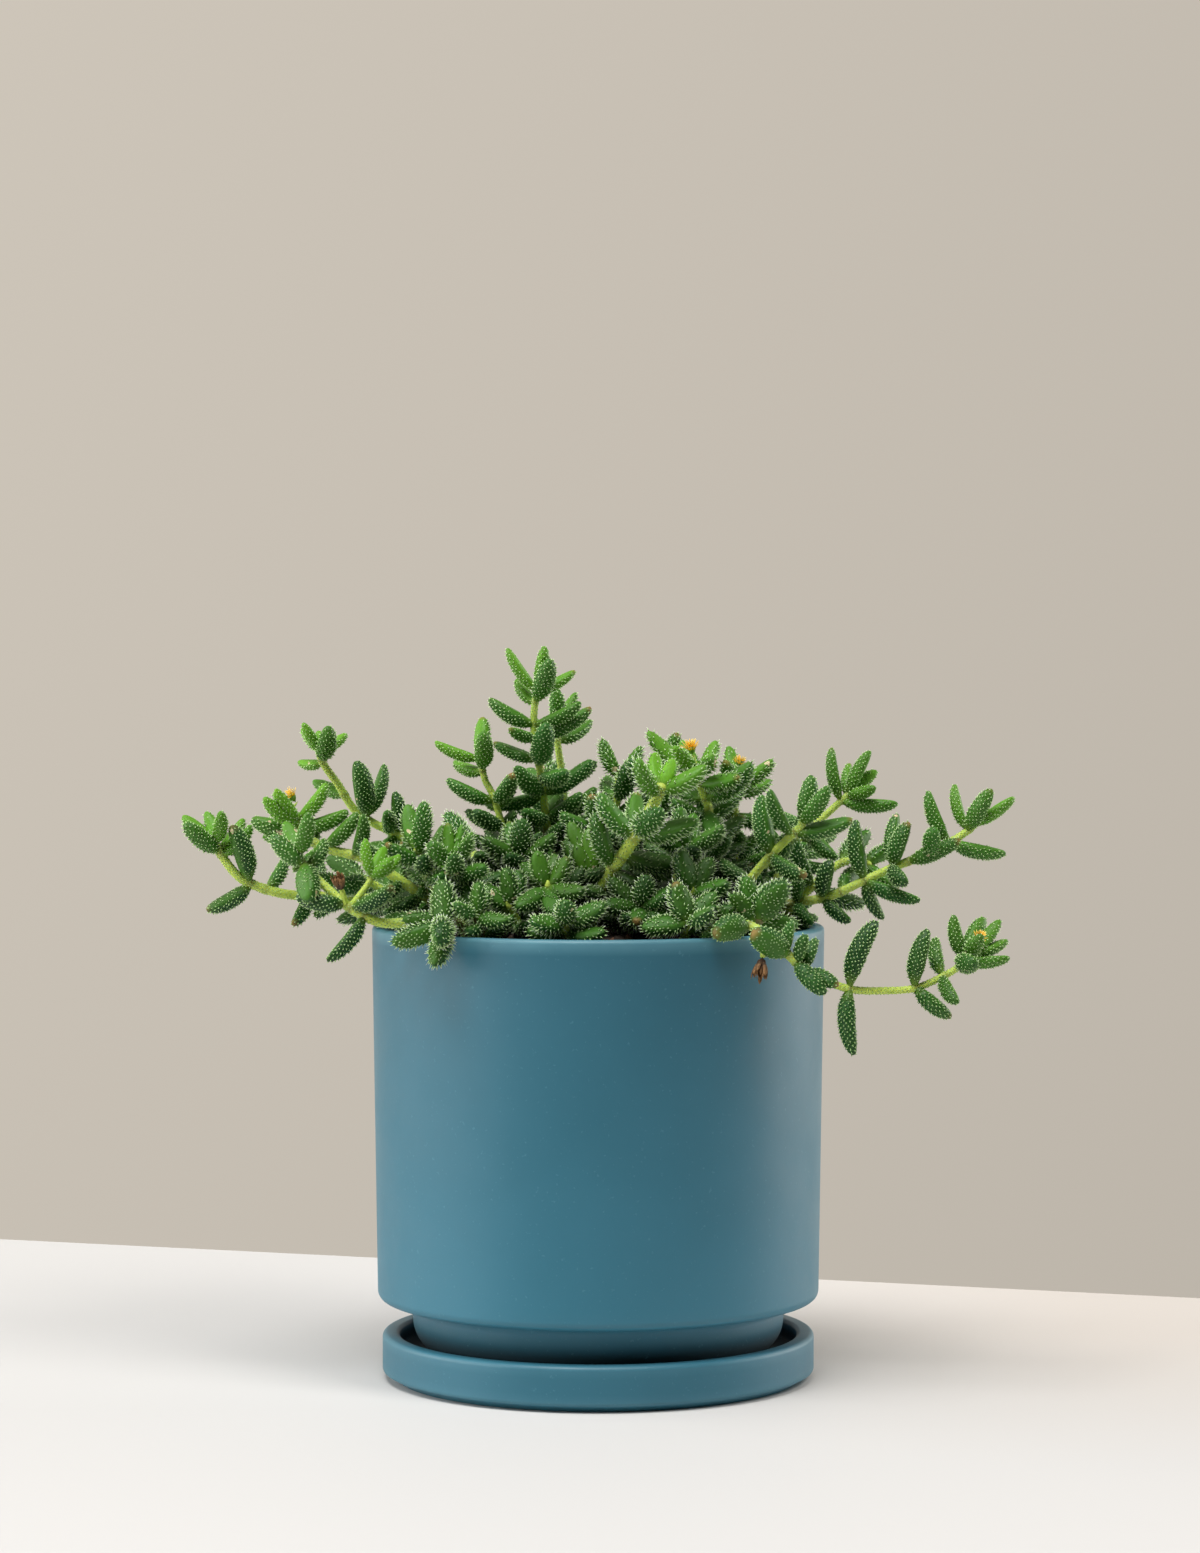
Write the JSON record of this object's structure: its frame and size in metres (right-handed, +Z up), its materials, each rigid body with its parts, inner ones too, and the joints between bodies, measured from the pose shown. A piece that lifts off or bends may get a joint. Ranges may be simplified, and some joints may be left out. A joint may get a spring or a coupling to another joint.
{
  "type": "potted pickle plant",
  "caption": "Bristly-leaved trailing succulent with plump paired leaves and small yellow flowers, growing in a glazed cylindrical pot that stands on a matching round saucer.",
  "frame": {"origin": "centre of the saucer's flat underside, on the surface that the object stands on", "axes": "+Z up along the pot's axis, +X along the plant's widest spread, -Y towards the front, where most of the leaves face"},
  "size_m": [0.2194, 0.1371, 0.1941],
  "materials": {
    "glaze": "satin",
    "soil": "matte",
    "leaf": "satin",
    "petal": "matte",
    "dried_flower": "matte"
  },
  "bodies": {
    "root": {"bloom_back": "petal", "bloom_left": "petal", "bloom_top": "petal", "bloom_trail": "petal", "pot": "glaze", "saucer": "glaze", "shoot_back_01": "leaf", "shoot_back_02": "leaf", "shoot_back_03": "leaf", "shoot_back_04": "leaf", "shoot_back_05": "leaf", "shoot_back_06": "leaf", "shoot_back_07": "leaf", "shoot_back_08": "leaf", "shoot_back_09": "leaf", "shoot_back_11": "leaf", "shoot_centre_front": "leaf", "shoot_centre_low": "leaf", "shoot_centre_middle": "leaf", "shoot_far_left": "leaf", "shoot_front_left": "leaf", "shoot_front_right": "leaf", "shoot_left_flower": "leaf", "shoot_left_low": "leaf", "shoot_left_middle": "leaf", "shoot_left_rim": "leaf", "shoot_left_rosette": "leaf", "shoot_left_upper": "leaf", "shoot_low_01": "leaf", "shoot_low_02": "leaf", "shoot_low_03": "leaf", "shoot_low_centre": "leaf", "shoot_low_left": "leaf", "shoot_low_right": "leaf", "shoot_middle": "leaf", "shoot_middle_left": "leaf", "shoot_middle_right": "leaf", "shoot_right_back": "leaf", "shoot_right_long": "leaf", "shoot_right_rim": "leaf", "shoot_right_trail": "leaf", "shoot_right_up": "leaf", "shoot_rim_young": "leaf", "shoot_tall": "leaf", "shoot_tall_back": "leaf", "shoot_thin_left": "leaf", "shoot_top_right": "leaf", "shoot_top_right_back": "leaf", "soil": "soil", "spent_bloom_left": "dried_flower", "spent_bloom_right": "dried_flower"}
  },
  "joints": []
}
